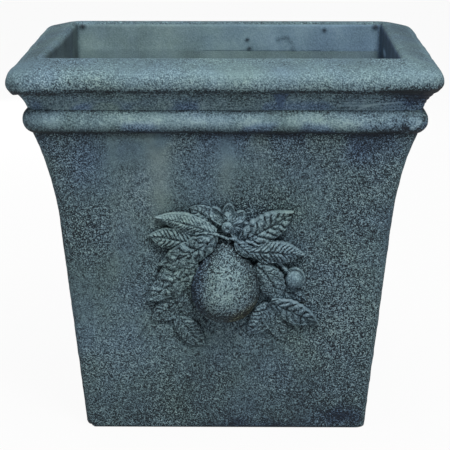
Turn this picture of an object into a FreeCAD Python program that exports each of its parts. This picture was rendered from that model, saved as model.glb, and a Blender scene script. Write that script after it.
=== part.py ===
# Square garden pot of pressed clay with a moulded spray of fruit and leaves on its front.
# Millimetres, +Z up. The origin is the middle of the foot, on the ground. The front faces -Y.

import FreeCAD
import Part
import math
import os

from FreeCAD import Vector

# Body sizes, each spread measured on one side, out from the piece below it
foot_width = 281.0
waist_spread = 22.6
flare_spread = 23.4
flare_rise = 96.6
neck_spread = 3.8
wall = 20.0
wall_corner = 8.5
inside_corner = 12.0

# Floor slab sizes
floor_thickness = 22.0
floor_recess = 4.0
drain_hole = 30.0

# Roll band sizes
band_stand = 5.6
band_radius = 13.0

# Rim sizes
rim_overhang = 19.7
pot_height = 380.0
rim_rise = 48.2
rim_corner = 21.0
nose_radius = 14.4
nose_drop = 20.0
nose_turn = 50.0
cove_hollow = 1.4
crest_set = 7.7
crest_land = 2.0
crest_corner = 13.0
mouth_round = 6.0
seam_rise = 15.0

# Relief sizes: the fruit's middle sits on the front wall, this far below the neck
fruit_drop = 182.8
fruit_radius = 34.0
fruit_length = 86.0
fruit_depth = 2.0
stalk_radius = 5.0
relief_span = 172.0
leaf_width = 11.0
leaf_rise = 14.0
rib_groove = 1.2
petal_width = 6.5
petal_rise = 11.0
heart_radius = 5.6
heart_rise = 8.5
twig_width = 2.6
twig_rise = 14.5
bud_radius = 9.2
bud_cup_radius = 11.2
bud_cup_rise = 3.5
stem_width = 2.0
stem_rise = 7.0

# Depth that a sprig is pressed past the wall's face before the wall trims it
press_depth = 4.0
overrun = 5.0

# Number of straight steps in each curve
flare_steps = 6
cove_steps = 4
nose_steps = 12
mouth_steps = 4

SIDES = {"front": 0, "right": 90, "back": 180, "left": 270}

# Worked out from the sizes above
foot_half = foot_width / 2
waist_half = foot_half + waist_spread
flare_half = waist_half + flare_spread
neck_half = flare_half + neck_spread
mouth_half = neck_half - wall
crest_half = mouth_half + crest_set
rim_half = neck_half + rim_overhang
rim_width = rim_half * 2
band_centre_half = neck_half + band_stand - band_radius
neck_height = pot_height - rim_rise
band_height = neck_height - math.sqrt(band_radius ** 2 - (neck_half - band_centre_half) ** 2)
flare_height = band_height - math.sqrt(band_radius ** 2 - (flare_half - band_centre_half) ** 2)
waist_height = flare_height - flare_rise
lean = math.atan2(waist_half - foot_half, waist_height)
nose_half = rim_half - nose_radius
nose_height = pot_height - nose_drop
fruit_height = neck_height - fruit_drop


def arc_points(centre, radius, start, end, steps):
    """Points (half width, height) on an arc in the pot's section, angles in radians."""
    points = []
    for step in range(steps + 1):
        angle = start + (end - start) * step / steps
        points.append((centre[0] + radius * math.cos(angle), centre[1] + radius * math.sin(angle)))
    return points


def flare_points():
    """The curve from the waist to the foot of the roll band, tangent to the straight wall."""
    rise = flare_height - waist_height
    end_lean = 2 * math.atan2(flare_half - waist_half, rise) - lean
    radius = rise / (math.sin(end_lean) - math.sin(lean))
    centre = (waist_half + radius * math.cos(lean), waist_height - radius * math.sin(lean))
    return arc_points(centre, radius, math.pi - lean, math.pi - end_lean, flare_steps)


def cove_points():
    """The shallow hollow from the neck up to the underside of the nose."""
    turn = math.radians(nose_turn)
    end = (nose_half + nose_radius * math.cos(turn), nose_height - nose_radius * math.sin(turn))
    chord = math.hypot(end[0] - neck_half, end[1] - neck_height)
    heading = math.atan2(end[1] - neck_height, end[0] - neck_half)
    radius = (chord ** 2 / 4 + cove_hollow ** 2) / (2 * cove_hollow)
    half_turn = math.asin(chord / 2 / radius)
    first = heading + math.pi / 2 + half_turn
    centre = (neck_half - radius * math.cos(first), neck_height - radius * math.sin(first))
    return arc_points(centre, radius, first, first - 2 * half_turn, cove_steps)


def nose_points():
    """The round nose of the rim, from the end of the cove to where the top face leaves it."""
    crest = (crest_half - nose_half, pot_height - nose_height)
    reach = math.hypot(crest[0], crest[1])
    leave = math.atan2(crest[1], crest[0]) - math.acos(nose_radius / reach)
    return arc_points((nose_half, nose_height), nose_radius, -math.radians(nose_turn), leave, nose_steps)


def square_wire(half, corner, height):
    """A level square with round corners."""
    flat = half - corner
    middle = corner * math.sqrt(0.5)
    edges = []
    for quarter in range(4):
        turn = math.radians(90 * quarter)

        def place(across, out):
            x = across * math.cos(turn) - out * math.sin(turn)
            y = across * math.sin(turn) + out * math.cos(turn)
            return Vector(x, y, height)

        edges.append(Part.makeLine(place(flat, half), place(-flat, half)))
        arc = Part.Arc(place(-flat, half), place(-flat - middle, flat + middle), place(-half, flat))
        edges.append(arc.toShape())
    return Part.Wire(edges)


def stack(levels):
    """A closed solid through level squares, each (half width, corner radius, height)."""
    wires = [square_wire(half, corner, height) for half, corner, height in levels]
    return Part.makeLoft(wires, True, True)


def rim_corner_at(half):
    """The corner opens from the wall's radius at the neck to the rim's radius at the nose."""
    share = (half - neck_half) / (rim_half - neck_half)
    return wall_corner + (rim_corner - wall_corner) * share


def top_corner_at(half):
    """On the top face the corner closes again, from the nose to the crest."""
    share = (half - crest_half) / (rim_half - crest_half)
    return crest_corner + (rim_corner - crest_corner) * share


def make_wall_core():
    """The walls' outside with no hollow, and the sloping seat for the rim on top."""
    levels = [(foot_half, wall_corner, 0)]
    for half, height in flare_points():
        levels.append((half, wall_corner, height))
    levels.append((neck_half, wall_corner, neck_height))
    levels.append((mouth_half, inside_corner, neck_height + seam_rise))
    return stack(levels)


def make_rim_core():
    """The rim's outside with no hollow, from the neck to the crest."""
    levels = [(half, rim_corner_at(half), height) for half, height in cove_points()]
    for half, height in nose_points()[1:]:
        corner = rim_corner_at(half) if height < nose_height else top_corner_at(half)
        levels.append((half, corner, height))
    levels.append((crest_half, crest_corner, pot_height))
    return stack(levels)


def make_hollow():
    """The inside of the pot, open at both ends."""
    slope = math.tan(lean)
    levels = [(foot_half - wall - slope * overrun, inside_corner, -overrun)]
    for half, height in flare_points():
        levels.append((half - wall, inside_corner, height))
    levels.append((mouth_half, inside_corner, neck_height))
    opening = crest_half - crest_land
    rise = opening - mouth_half
    centre = (opening, pot_height - mouth_round)
    for step in range(mouth_steps + 1):
        angle = math.pi / 2 * step / mouth_steps
        half = centre[0] - rise * math.cos(angle)
        height = centre[1] + mouth_round * math.sin(angle)
        levels.append((half, inside_corner, height))
    levels.append((opening, inside_corner, pot_height + overrun))
    return stack(levels)


def quarter_wedge(turn):
    """The quarter of space in front of the pot, between the two mitre planes."""
    reach = rim_width
    corners = [Vector(0, 0, -reach), Vector(-reach, -reach, -reach), Vector(reach, -reach, -reach)]
    face = Part.Face(Part.makePolygon(corners + [corners[0]]))
    wedge = face.extrude(Vector(0, 0, reach * 3))
    wedge.rotate(Vector(0, 0, 0), Vector(0, 0, 1), turn)
    return wedge


def mitre(ring, name):
    """Cuts a ring into four sides that meet at the corners."""
    return {name + "_" + side: ring.common(quarter_wedge(turn)) for side, turn in SIDES.items()}


def make_body():
    """Walls, floor slab, roll band and rim."""
    wall_core = make_wall_core()
    hollow = make_hollow()
    pieces = mitre(wall_core.cut(hollow), "wall")

    rim = make_rim_core().cut(wall_core).cut(hollow)
    pieces.update(mitre(rim, "rim"))

    start = math.atan2(flare_height - band_height, flare_half - band_centre_half)
    end = math.atan2(neck_height - band_height, neck_half - band_centre_half)
    section = arc_points((band_centre_half, band_height), band_radius, start, end, nose_steps)
    band_core = stack([(half, wall_corner + half - flare_half, height) for half, height in section])
    pieces.update(mitre(band_core.cut(wall_core), "roll_band"))

    slab = Part.makeBox(rim_width, rim_width, floor_thickness, Vector(-rim_half, -rim_half, floor_recess))
    hole = Part.makeCylinder(drain_hole / 2, pot_height, Vector(0, 0, -overrun))
    pieces["floor_slab"] = slab.common(hollow).cut(hole)
    return pieces, wall_core


def wall_placement():
    """Local X runs right, Y up the slope of the front wall and Z straight out of its face."""
    base = Vector(0, -foot_half - fruit_height * math.tan(lean), fruit_height)
    turn = FreeCAD.Rotation(Vector(1, 0, 0), 90 + math.degrees(lean))
    return FreeCAD.Placement(base, turn)


# A sprig's length, shared out from its base to its tip, with its breadth at each place
along_shares = (0.0, 0.17, 0.42, 0.66, 0.86, 1.0)
breadth_shares = (0.3, 0.74, 1.0, 0.88, 0.5, 0.05)
strip_shares = (1.0, 1.0, 1.0, 1.0, 0.9, 0.6)
swell_share = 0.52
edge_rise_share = 0.62
undercut_share = 0.9


def sprig(base, tip, bow, breadth, base_rise, tip_rise, groove, breadths=breadth_shares):
    """A leaf, petal or stalk pressed on the wall: base and tip in its plane, bow sideways."""
    start = Vector(base[0], base[1], 0)
    end = Vector(tip[0], tip[1], 0)
    chord = end - start
    side = Vector(-chord.y, chord.x, 0).normalize()
    middle = (start + end) * 0.5 + side * (bow * 2)
    wires = []
    for share, width_share in zip(along_shares, breadths):
        rest = 1 - share
        centre = start * (rest * rest) + middle * (2 * rest * share) + end * (share * share)
        heading = (middle - start) * rest + (end - middle) * share
        across = Vector(-heading.y, heading.x, 0).normalize()
        rise = base_rise * rest + tip_rise * share
        half = breadth * width_share
        dip = groove * width_share
        outline = [
            (half, rise * edge_rise_share),
            (half * swell_share, rise),
            (0, rise - dip),
            (-half * swell_share, rise),
            (-half, rise * edge_rise_share),
            (-half * undercut_share, -press_depth),
            (half * undercut_share, -press_depth),
        ]
        points = [centre + across * offset + Vector(0, 0, height) for offset, height in outline]
        wires.append(Part.makePolygon(points + [points[0]]))
    return Part.makeLoft(wires, True, True)


# Leaves from the topmost to the lowest, each with shares of relief_span for its base and tip,
# then its bow as a share of relief_span, its breadth as a share of leaf_width, and its rise
# at the base and at the tip as shares of leaf_rise
leaf_shares = {
    "leaf_small": ((0.06, 0.3), (0.15, 0.225), 0.0, 0.5, 1.0, 0.86),
    "leaf_upper_left": ((-0.055, 0.345), (-0.4, 0.432), -0.012, 1.1, 0.76, 0.4),
    "leaf_upper_right": ((0.09, 0.3), (0.39, 0.468), -0.008, 1.3, 0.9, 0.56),
    "leaf_shoulder": ((-0.06, 0.325), (-0.386, 0.148), 0.035, 1.3, 1.0, 0.55),
    "leaf_right": ((0.135, 0.24), (0.456, 0.21), 0.004, 1.05, 0.86, 0.5),
    "leaf_beside_fruit": ((0.175, 0.155), (0.302, -0.1), 0.032, 1.2, 0.68, 0.4),
    "leaf_lower_right": ((0.258, -0.075), (0.541, -0.2), 0.0, 1.05, 0.5, 0.44),
    "leaf_left": ((-0.17, 0.275), (-0.442, 0.32), -0.006, 1.05, 0.56, 0.34),
    "leaf_left_lobe": ((-0.16, 0.17), (-0.393, 0.07), 0.0, 1.15, 0.74, 0.44),
    "leaf_left_low": ((-0.17, 0.11), (-0.458, -0.075), -0.012, 1.15, 0.66, 0.38),
    "leaf_upper_left_back": ((-0.042, 0.372), (-0.205, 0.489), -0.01, 0.95, 0.44, 0.26),
    "leaf_under_left": ((-0.245, 0.04), (-0.14, -0.205), 0.0, 1.35, 0.5, 0.26),
    "leaf_under_right": ((0.25, -0.09), (0.119, -0.276), 0.02, 1.05, 0.38, 0.3),
    "leaf_bottom_left": ((-0.275, -0.158), (-0.107, -0.353), -0.018, 1.02, 0.36, 0.27),
    "leaf_lower_right_back": ((0.27, 0.0), (0.471, -0.077), 0.01, 0.75, 0.3, 0.2),
    "leaf_left_foot": ((-0.24, -0.05), (-0.431, -0.204), 0.0, 1.05, 0.36, 0.22),
    "leaf_bottom_right": ((0.25, -0.12), (0.346, -0.329), 0.0, 0.85, 0.3, 0.18),
}

# Petals, each with shares of relief_span for its tip and a share of petal_width for its breadth
heart_place_shares = (0.012, 0.382)
petal_shares = (
    ((-0.08, 0.49), 1.0),
    ((0.022, 0.512), 1.0),
    ((0.112, 0.462), 1.0),
    ((0.16, 0.368), 1.0),
    ((0.085, 0.318), 0.75),
)

twig_left_shares = ((-0.17, 0.346), (0.015, 0.318))
twig_right_shares = ((0.004, 0.322), (0.125, 0.29))
twig_bow_share = 0.008
bud_place_shares = (0.394, 0.06)
bud_stem_shares = ((0.27, 0.2), (0.37, 0.09))

# The fruit's right outline: shares of fruit_radius across, and of its height above the middle
fruit_side_shares = ((0.975, 0.2), (0.9, 0.4), (0.62, 0.66), (0.36, 0.86))


def spread(shares):
    """A place on the wall from shares of the relief's span."""
    return (shares[0] * relief_span, shares[1] * relief_span)


def make_fruit():
    """A round fruit that narrows towards its stalk, turned about its own upright axis."""
    bottom = Vector(0, -fruit_radius, 0)
    lower = Vector(fruit_radius * math.sqrt(0.5), -fruit_radius * math.sqrt(0.5), 0)
    widest = Vector(fruit_radius, 0, 0)
    neck = fruit_length - fruit_radius
    sides = [Vector(across * fruit_radius, up * neck, 0) for across, up in fruit_side_shares]
    top = Vector(stalk_radius, neck, 0)
    edges = [
        Part.Arc(bottom, lower, widest).toShape(),
        Part.Arc(widest, sides[0], sides[1]).toShape(),
        Part.Arc(sides[1], sides[2], sides[3]).toShape(),
        Part.makeLine(sides[3], top),
        Part.makeLine(top, Vector(0, neck, 0)),
        Part.makeLine(Vector(0, neck, 0), bottom),
    ]
    fruit = Part.Face(Part.Wire(edges)).revolve(Vector(0, 0, 0), Vector(0, 1, 0), 360)
    fruit.translate(Vector(0, 0, fruit_depth))
    return fruit


def make_sprigs():
    """Every piece of the relief, uncut, from the topmost to the lowest."""
    sprigs = {}
    heart = spread(heart_place_shares)
    heart_ball = Part.makeSphere(heart_radius, Vector(heart[0], heart[1], heart_rise))
    stump = Part.makeCylinder(heart_radius, heart_rise + press_depth, Vector(heart[0], heart[1], -press_depth))
    sprigs["blossom_heart"] = heart_ball.fuse(stump).removeSplitter()
    for number, (tip, breadth_share) in enumerate(petal_shares, start=1):
        breadth = petal_width * breadth_share
        sprigs["blossom_petal_" + str(number)] = sprig(
            heart, spread(tip), 0, breadth, petal_rise, petal_rise * edge_rise_share, rib_groove
        )
    twig_bow = twig_bow_share * relief_span
    arms = [
        sprig(spread(start), spread(end), twig_bow, twig_width, twig_rise, twig_rise, 0, strip_shares)
        for start, end in (twig_left_shares, twig_right_shares)
    ]
    sprigs["twig"] = arms[0].fuse(arms[1])
    bud = spread(bud_place_shares)
    sprigs["bud"] = Part.makeSphere(bud_radius, Vector(bud[0], bud[1], bud_cup_rise))
    sprigs["bud_cup"] = Part.makeCone(
        bud_cup_radius,
        bud_radius,
        bud_cup_rise + press_depth,
        Vector(bud[0], bud[1], -press_depth),
    )
    sprigs["fruit"] = make_fruit()
    for name, (base, tip, bow, breadth, base_rise, tip_rise) in leaf_shares.items():
        sprigs[name] = sprig(
            spread(base),
            spread(tip),
            bow * relief_span,
            breadth * leaf_width,
            base_rise * leaf_rise,
            tip_rise * leaf_rise,
            rib_groove,
        )
    stem_start, stem_end = bud_stem_shares
    sprigs["bud_stem"] = sprig(
        spread(stem_start), spread(stem_end), 0, stem_width, stem_rise, stem_rise, 0, strip_shares
    )
    return sprigs


def make_relief(wall_core):
    """Seats each sprig on the wall and trims it where a higher one lies over it."""
    place = wall_placement()
    raised = {}
    pieces = {}
    for name, shape in make_sprigs().items():
        whole = shape.copy()
        whole.Placement = place.multiply(whole.Placement)
        trimmed = whole.cut(wall_core)
        for upper in raised.values():
            if upper.BoundBox.intersect(whole.BoundBox):
                trimmed = trimmed.cut(upper)
        pieces[name] = max(trimmed.Solids, key=lambda solid: solid.Volume)
        raised[name] = whole
    return pieces


os.makedirs("parts", exist_ok=True)
body, core = make_body()
body.update(make_relief(core))
for node, solid in body.items():
    solid.exportStep("parts/" + node + ".step")
    print(node, "valid", solid.isValid(), "solids", len(solid.Solids), "volume", round(solid.Volume))
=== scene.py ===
import math

import bmesh
import bpy
from mathutils import Matrix, Vector, noise


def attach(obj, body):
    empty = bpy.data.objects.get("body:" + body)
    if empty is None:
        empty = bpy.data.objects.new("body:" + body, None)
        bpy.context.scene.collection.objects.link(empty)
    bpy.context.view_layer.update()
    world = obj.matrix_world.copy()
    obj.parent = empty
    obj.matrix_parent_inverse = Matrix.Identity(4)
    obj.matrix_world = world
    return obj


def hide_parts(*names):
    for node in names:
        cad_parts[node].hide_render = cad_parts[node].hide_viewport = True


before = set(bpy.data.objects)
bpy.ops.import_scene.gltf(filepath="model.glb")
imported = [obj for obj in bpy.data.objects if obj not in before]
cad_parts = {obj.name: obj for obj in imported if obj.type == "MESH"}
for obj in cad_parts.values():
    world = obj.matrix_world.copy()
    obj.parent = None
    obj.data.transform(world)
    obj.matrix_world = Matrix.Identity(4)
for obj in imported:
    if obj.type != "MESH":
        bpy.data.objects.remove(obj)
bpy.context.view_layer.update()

# The walls are four leaning slabs of coarse clay, cut to a mitre and luted at the corners.
# They stand straight from the foot to the waist and curve outwards to the neck. Each keeps the
# grain of its mould and slight waves, and one lower corner at the front has been knocked blunt.
foot_half = 0.1405
waist_half = 0.1631
flare_half = 0.1865
neck_half = 0.1903
waist_height = 0.2120
flare_height = 0.3086
neck_height = 0.3318
wall_thickness = 0.020
seam_rise = 0.015
wall_corner = 0.0085
inside_corner = 0.004
foot_round = 0.0022
wall_grain = 0.0016
hidden_grain = 0.008
corner_steps = 7
weld_reach = 1e-6
wave_depth = 0.0009
wave_length = 0.062
dent_depth = 0.0004
dent_length = 0.013
skin_depth = 0.00032
skin_fine = 0.0041
skin_coarse = 0.0092
chip_place = Vector((-foot_half, -foot_half, 0))
chip_face = Vector((-1, -0.5, -0.9)).normalized()
chip_depth = 0.005775
chip_rough = 0.0012
foot_fade = 0.01
chip_level = chip_face.dot(chip_place) - chip_depth

wall_lean = math.atan2(waist_half - foot_half, waist_height)
flare_rise = flare_height - waist_height
flare_lean = 2 * math.atan2(flare_half - waist_half, flare_rise) - wall_lean
flare_radius = flare_rise / (math.sin(flare_lean) - math.sin(wall_lean))
mouth_half = neck_half - wall_thickness
side_turns = {"front": 0, "right": 90, "back": 180, "left": 270}
square_on = 0.9

# The inside is wiped smooth and a little brown. Both its sides are painted darker than the far face, as
# shade, and the right one is navy.
inside_smooth = 0.8
inside_mottle = 0.028
inside_brown = 0.12
left_painted_shade = 0.30
right_painted_shade = 0.34
right_navy = 0.90

# Pale runs of wash on the front: place across, half breadth, lower end, strength
wash_runs = (
    (-0.064, 0.011, 0.218, 0.22),
    (-0.093, 0.017, 0.195, 0.09),
    (0.001, 0.009, 0.240, 0.15),
    (0.033, 0.010, 0.262, 0.08),
    (-0.110, 0.005, 0.150, 0.06),
)

# Patches on the front: place across and up, reach across and up, and how much paler, smoother
# and browner the clay is there. A stain below nothing is navy.
wall_patches = (
    (-0.100, 0.070, 0.060, 0.070, 0.05, 0.0, 0.0),
    (-0.008, 0.094, 0.024, 0.013, 0.22, 0.0, 0.0),
    (0.140, 0.284, 0.026, 0.020, -0.10, 0.0, 0.0),
    (0.095, 0.055, 0.035, 0.040, -0.06, 0.0, 0.0),
    (0.108, 0.125, 0.030, 0.035, 0.0, -0.4, 0.0),
    (-0.132, 0.222, 0.014, 0.016, 0.0, -0.3, 0.0),
    (0.074, 0.136, 0.006, 0.004, 0.0, 0.0, 0.9),
    (0.130, 0.288, 0.016, 0.014, -0.07, 0.0, -0.6),
    (-0.137, 0.283, 0.024, 0.028, -0.07, 0.0, -0.6),
)

# Damp marks with a ragged edge, low on the front, in the same way
damp_patches = (
    (0.118, 0.012, 0.022, 0.010, -0.20, 0.0, -0.90),
    (0.030, 0.000, 0.050, 0.007, -0.14, 0.0, -0.63),
)


def along_arc(centre, radius, start, end, spacing):
    """Points (half width, height) along an arc in the pot's section."""
    steps = max(2, round(abs(end - start) * radius / spacing))
    angles = [start + (end - start) * step / steps for step in range(steps + 1)]
    return [(centre[0] + radius * math.cos(a), centre[1] + radius * math.sin(a)) for a in angles]


def along_line(start, end, spacing):
    """Points along a straight part of the section, without its last one."""
    steps = max(1, round(math.dist(start, end) / spacing))
    return [tuple(a + (b - a) * step / steps for a, b in zip(start, end)) for step in range(steps)]


def flare_curve(spacing):
    """The curve from the waist to the foot of the roll band, tangent to the straight wall."""
    centre = (
        waist_half + flare_radius * math.cos(wall_lean),
        waist_height - flare_radius * math.sin(wall_lean),
    )
    return along_arc(centre, flare_radius, math.pi - wall_lean, math.pi - flare_lean, spacing)


def bell(distance, reach):
    """A soft hump, 1 in the middle and near 0 past its reach."""
    return math.exp(-((distance / reach) ** 2))


def ease(value, low, high):
    """0 below low, 1 above high, and a smooth rise between."""
    share = min(1, max(0, (value - low) / (high - low)))
    return share * share * (3 - 2 * share)


def clay_skin(place):
    """The leathery grain that coarse clay takes from its mould."""
    return 0.65 * noise.noise(place / skin_fine) + 0.35 * noise.noise(place / skin_coarse)


def hand_waves(place, depth=wave_depth, fine=dent_depth):
    """How far the surface stands out at a place, from long waves and short dents."""
    return depth * noise.noise(place / wave_length) + fine * noise.noise(place / dent_length)


def lay_side(name, section, turn, corner_at, settle, spacing=wall_grain):
    """One mitred side: the section is carried along its share of a square with round corners.

    Each point says how pale it is, with painted light and shade, how smooth it was wiped and its stain.
    """
    flat_steps = round(2 * max(half for half, height in section) / spacing)
    across_steps = flat_steps + 2 * corner_steps
    rows = len(section)
    bm = bmesh.new()
    bmesh.ops.create_grid(bm, x_segments=across_steps, y_segments=rows, size=1)
    marks = [bm.verts.layers.float.new(mark) for mark in ("wash_and_light", "smooth", "stain")]
    spin = Matrix.Rotation(math.radians(turn), 3, "Z")
    for vert in bm.verts:
        column = round((vert.co.x + 1) / 2 * across_steps)
        row = round((vert.co.y + 1) / 2 * rows) % rows
        half, height = section[row]
        corner = corner_at(half, height, row)
        from_end = min(column, across_steps - column)
        sign = -1 if column * 2 < across_steps else 1
        angle = math.pi / 4 * max(0, corner_steps - from_end) / corner_steps
        share = max(-1, min(1, (column - corner_steps) / flat_steps * 2 - 1))
        out = Vector((sign * math.sin(angle), -math.cos(angle), 0))
        across = share * (half - corner) + sign * corner * math.sin(angle)
        place = Vector((across, -(half - corner) - corner * math.cos(angle), height))
        vert.co, *values = settle(spin @ place, spin @ out, half, height, row)
        for mark, value in zip(marks, values):
            vert[mark] = value
    bmesh.ops.remove_doubles(bm, verts=bm.verts, dist=weld_reach)
    bmesh.ops.holes_fill(bm, edges=[e for e in bm.edges if e.is_boundary], sides=0)
    return finish_piece(bm, name)


def face_outwards(bm):
    """Turns every face of a closed form outwards, from its shape as it now is."""
    bm.normal_update()
    bmesh.ops.recalc_face_normals(bm, faces=bm.faces)
    bm.normal_update()


def finish_piece(bm, name, sharp=50):
    """Turns the modelled form into a piece with smooth faces and crisp edges."""
    face_outwards(bm)
    mesh = bpy.data.meshes.new(name)
    bm.to_mesh(mesh)
    bm.free()
    mesh.shade_smooth()
    mesh.set_sharp_from_angle(angle=math.radians(sharp))
    piece = bpy.data.objects.new(name, mesh)
    bpy.context.scene.collection.objects.link(piece)
    return piece


def seat(piece, material, *nodes):
    """Gives a piece its finish and lets it stand for its CAD nodes on the pot's one body."""
    piece.data.materials.append(material)
    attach(piece, "root")
    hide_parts(*nodes)


# From the bare charcoal stain in the pits to the thickest dry wash on the high places
# Painted light and shade also move a place along these steps.
wash_steps = (
    (0.00, (0.009, 0.015, 0.021, 1)),
    (0.22, (0.030, 0.047, 0.061, 1)),
    (0.48, (0.086, 0.136, 0.165, 1)),
    (0.76, (0.173, 0.262, 0.304, 1)),
    (1.00, (0.295, 0.405, 0.440, 1)),
)
green_cast = (1.00, 1.03, 0.93, 1)
blue_cast = (0.94, 0.98, 1.05, 1)
brown_stain = (1.28, 1.00, 0.62, 1)
navy_stain = (0.80, 0.88, 1.22, 1)
cast_size = 0.070
speck_depth = 0.0022
run_breadth = 0.020

# The wash lies in large, middling and small clouds: their size, detail and strength
wash_clouds = ((0.085, 3.0, 0.26), (0.026, 4.0, 0.20), (0.0085, 3.0, 0.08))


def washed_clay(
    name, wash, speckle=1.0, grain=0.0015, hollow_reach=0.008, hollow_stain_and_shade=0.5, runs=0.0, bump=0.7
):
    """Fired clay stained charcoal blue, with a pale dry wash rubbed over its high places.

    It takes the wash's share, the strength and size of its specks, how far and how strongly hollows are
    darkened, partly as the bare stain and partly as painted shade, how strongly it ran downwards, and how
    deep the specks are.
    """
    material = bpy.data.materials.new(name)
    material.use_nodes = True
    tree = material.node_tree
    tree.nodes.clear()

    def add(kind, inputs, **settings):
        made = tree.nodes.new(kind)
        for key, value in settings.items():
            setattr(made, key, value)
        for key, value in inputs.items():
            if isinstance(value, bpy.types.NodeSocket):
                tree.links.new(value, made.inputs[key])
            else:
                made.inputs[key].default_value = value
        return made

    def figure(operation, *values):
        return add("ShaderNodeMath", dict(enumerate(values)), operation=operation).outputs[0]

    def cloud(size, detail, source):
        inputs = {"Vector": source, "Scale": 1 / size, "Detail": detail, "Roughness": 0.6}
        return figure("SUBTRACT", add("ShaderNodeTexNoise", inputs).outputs["Fac"], 0.5)

    def spread(value, low, high, to_low, to_high):
        inputs = {"Value": value, 1: low, 2: high, 3: to_low, 4: to_high}
        return add("ShaderNodeMapRange", inputs).outputs["Result"]

    def blend(share, first, second, **settings):
        inputs = {0: share, 6: first, 7: second}
        return add("ShaderNodeMix", inputs, data_type="RGBA", **settings).outputs[2]

    def mark(title):
        return add("ShaderNodeAttribute", {}, attribute_name=title).outputs["Fac"]

    place = add("ShaderNodeTexCoord", {}).outputs["Object"]
    share = figure("ADD", mark("wash_and_light"), wash)
    for size, detail, strength in wash_clouds:
        share = figure("MULTIPLY_ADD", cloud(size, detail, place), strength, share)
    if runs:
        drawn = add("ShaderNodeMapping", {"Vector": place, "Scale": (1.0, 1.0, 0.12)}).outputs[0]
        share = figure("MULTIPLY_ADD", cloud(run_breadth, 3.0, drawn), runs, share)

    rough = figure("SUBTRACT", 1.0, mark("smooth"))
    speck = figure("MULTIPLY_ADD", cloud(grain * 2, 1.0, place), 0.35, cloud(grain, 2.0, place))
    speck = figure("MULTIPLY", speck, rough)
    in_pale = spread(share, 0.35, 0.85, 3.0 * speckle, 1.3 * speckle)
    in_dark = spread(share, -0.10, 0.30, 0.5 * speckle, 3.0 * speckle)
    share = figure("MULTIPLY_ADD", speck, figure("MINIMUM", in_pale, in_dark), share)

    # Hollows are darkened by occlusion: partly the bare stain left there, partly painted shade.
    hollow = add("ShaderNodeAmbientOcclusion", {"Distance": hollow_reach}, samples=16)
    closed = figure("SUBTRACT", 1.0, hollow.outputs["AO"])
    share = figure("MULTIPLY_ADD", closed, -hollow_stain_and_shade, share)

    ramp = add("ShaderNodeValToRGB", {"Fac": share})
    steps = ramp.color_ramp.elements
    while len(steps) < len(wash_steps):
        steps.new(0.5)
    for step, (position, colour) in zip(steps, wash_steps):
        step.position = position
        step.color = colour
    casts = spread(cloud(cast_size, 3.0, place), -0.16, 0.16, 0.0, 1.0)
    cast = blend(casts, green_cast, blue_cast)
    stain = mark("stain")
    cast = blend(spread(stain, 0.0, 1.0, 0.0, 1.0), cast, brown_stain)
    cast = blend(spread(stain, 0.0, -1.0, 0.0, 1.0), cast, navy_stain)
    colour = blend(1.0, ramp.outputs["Color"], cast, blend_type="MULTIPLY")

    relief = add("ShaderNodeBump", {"Height": speck, "Strength": bump, "Distance": speck_depth})
    shader = add(
        "ShaderNodeBsdfPrincipled",
        {
            "Base Color": colour,
            "Roughness": spread(share, 0.2, 0.9, 0.72, 0.9),
            "Specular IOR Level": 0.3,
            "Normal": relief.outputs["Normal"],
        },
    )
    add("ShaderNodeOutputMaterial", {"Surface": shader.outputs["BSDF"]})
    return material


def wall_section():
    """The wall's section as a closed loop: up the outside, over the seat and down the inside."""
    foot_centre = (foot_half - foot_round, foot_round)
    outside = along_arc(foot_centre, foot_round, -math.pi / 2, 0, foot_round / 3)[:-1]
    outside += along_line((foot_half, foot_round), (waist_half, waist_height), wall_grain)
    outside += flare_curve(wall_grain)
    seat_foot = (neck_half, neck_height)
    seat_top = (mouth_half, neck_height + seam_rise)
    inside = along_line((flare_half, flare_height), seat_foot, hidden_grain)[1:]
    inside += along_line(seat_foot, seat_top, hidden_grain)
    inside += along_line(seat_top, (mouth_half, neck_height), hidden_grain)
    inner_flare = (flare_half - wall_thickness, flare_height)
    inside += along_line((mouth_half, neck_height), inner_flare, hidden_grain)
    inside += [(half - wall_thickness, height) for half, height in flare_curve(hidden_grain)][::-1]
    inner_foot = (foot_half - wall_thickness, 0)
    inside += along_line((waist_half - wall_thickness, waist_height), inner_foot, hidden_grain)[1:]
    inside += along_line(inner_foot, (foot_half - foot_round, 0), hidden_grain)
    return outside + inside, len(outside)


wall_loop, wall_outer_count = wall_section()


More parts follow.
